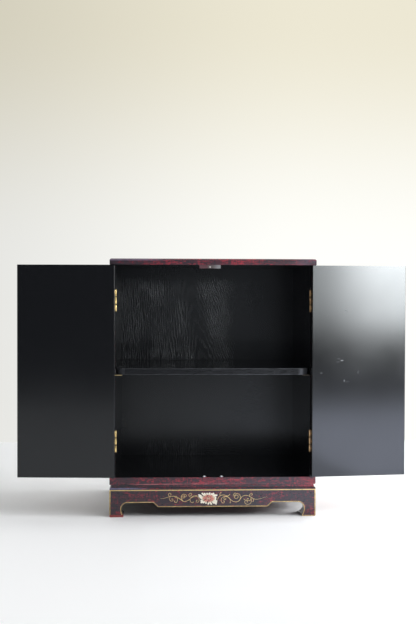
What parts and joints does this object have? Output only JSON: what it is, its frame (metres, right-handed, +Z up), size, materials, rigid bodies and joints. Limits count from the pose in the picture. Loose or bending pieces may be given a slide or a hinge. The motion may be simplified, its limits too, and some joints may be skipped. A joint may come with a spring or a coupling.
{
  "type": "cabinet on stand",
  "caption": "Lacquered two-door storage cabinet with an inner shelf, on a low stand with shaped aprons and hoof feet; doors swing on butt hinges.",
  "frame": {"origin": "on the floor, in the middle of the whole object's box with both doors standing open", "axes": "+X to the right as one faces the doors, +Y towards the back, +Z up; the doors are on the -Y side"},
  "size_m": [1.146, 0.4298, 0.762],
  "materials": {
    "crimson_lacquer": "satin lacquer, streaky mottle of crimson over charcoal",
    "black_lacquer": "satin black lacquer, open grain showing",
    "gold_paint": "gold paint line on lacquer",
    "flower_paint": "cream and salmon paint in low relief on lacquer",
    "bare_wood": "raw hardwood",
    "brass": "polished brass",
    "polished_steel": "polished, nickel plated",
    "spring_steel": "drawn wire"
  },
  "bodies": {
    "case": {"back_panel": "black_lacquer", "back_panel_pins": "polished_steel", "base_panel": "crimson_lacquer", "case_dowels": "bare_wood", "case_hinge_screws": "brass", "cove_back_strip": "crimson_lacquer", "cove_front_strip": "crimson_lacquer", "cove_left_strip": "crimson_lacquer", "cove_right_strip": "crimson_lacquer", "door_stop": "polished_steel", "door_stop_screws": "polished_steel", "left_catch_barrel": "polished_steel", "left_catch_spring": "spring_steel", "left_lower_case_leaf": "brass", "left_lower_hinge_pin": "brass", "left_shelf_support": "brass", "left_side_panel": "crimson_lacquer", "left_upper_case_leaf": "brass", "left_upper_hinge_pin": "brass", "right_catch_barrel": "polished_steel", "right_catch_spring": "spring_steel", "right_lower_case_leaf": "brass", "right_lower_hinge_pin": "brass", "right_shelf_support": "brass", "right_side_panel": "crimson_lacquer", "right_upper_case_leaf": "brass", "right_upper_hinge_pin": "brass", "shelf": "black_lacquer", "shelf_support_screws": "brass", "stand_back_left_leg_block": "black_lacquer", "stand_back_rail": "crimson_lacquer", "stand_back_right_leg_block": "black_lacquer", "stand_front_left_leg_block": "black_lacquer", "stand_front_rail": "crimson_lacquer", "stand_front_right_leg_block": "black_lacquer", "stand_left_rail": "crimson_lacquer", "stand_right_rail": "crimson_lacquer", "stand_screws": "polished_steel", "top_panel": "crimson_lacquer"},
    "left_door": {"left_catch_strike": "polished_steel", "left_door_hinge_screws": "brass", "left_door_panel": "crimson_lacquer", "left_lower_door_leaf": "brass", "left_pull_plate": "brass", "left_pull_post": "brass", "left_strike_screws": "polished_steel", "left_upper_door_leaf": "brass"},
    "right_door": {"right_catch_strike": "polished_steel", "right_door_hinge_screws": "brass", "right_door_panel": "crimson_lacquer", "right_lower_door_leaf": "brass", "right_pull_plate": "brass", "right_pull_post": "brass", "right_strike_screws": "polished_steel", "right_upper_door_leaf": "brass"},
    "left_pull": {"left_pull_drop": "brass"},
    "right_pull": {"right_pull_drop": "brass"},
    "left_ball": {"left_catch_ball": "polished_steel"},
    "right_ball": {"right_catch_ball": "polished_steel"}
  },
  "joints": [
    {"name": "left_door_hinge", "type": "hinge", "parent": "case", "child": "left_door", "pos_m": [-0.2867, -0.194, 0.4315], "axis": [0, 0, 1], "range_deg": [0, 183.5]},
    {"name": "right_door_hinge", "type": "hinge", "parent": "case", "child": "right_door", "pos_m": [0.2867, -0.194, 0.4315], "axis": [0, 0, -1], "range_deg": [0, 186.3]},
    {"name": "left_pull_swing", "type": "hinge", "parent": "left_door", "child": "left_pull", "pos_m": [-0.54564, -0.17365, 0.45], "axis": [0.9981, -0.061, 0], "range_deg": [0, 165]},
    {"name": "right_pull_swing", "type": "hinge", "parent": "right_door", "child": "right_pull", "pos_m": [0.54434, -0.16103, 0.45], "axis": [0.994, 0.1097, 0], "range_deg": [0, 165]},
    {"name": "left_ball_press", "type": "slide", "parent": "case", "child": "left_ball", "axis": [0, 0, -1], "range_m": [0, 0.0031], "stiffness_N_per_m": 400, "deforming": ["left_catch_spring"]},
    {"name": "right_ball_press", "type": "slide", "parent": "case", "child": "right_ball", "axis": [0, 0, -1], "range_m": [0, 0.0031], "stiffness_N_per_m": 400, "deforming": ["right_catch_spring"]}
  ]
}
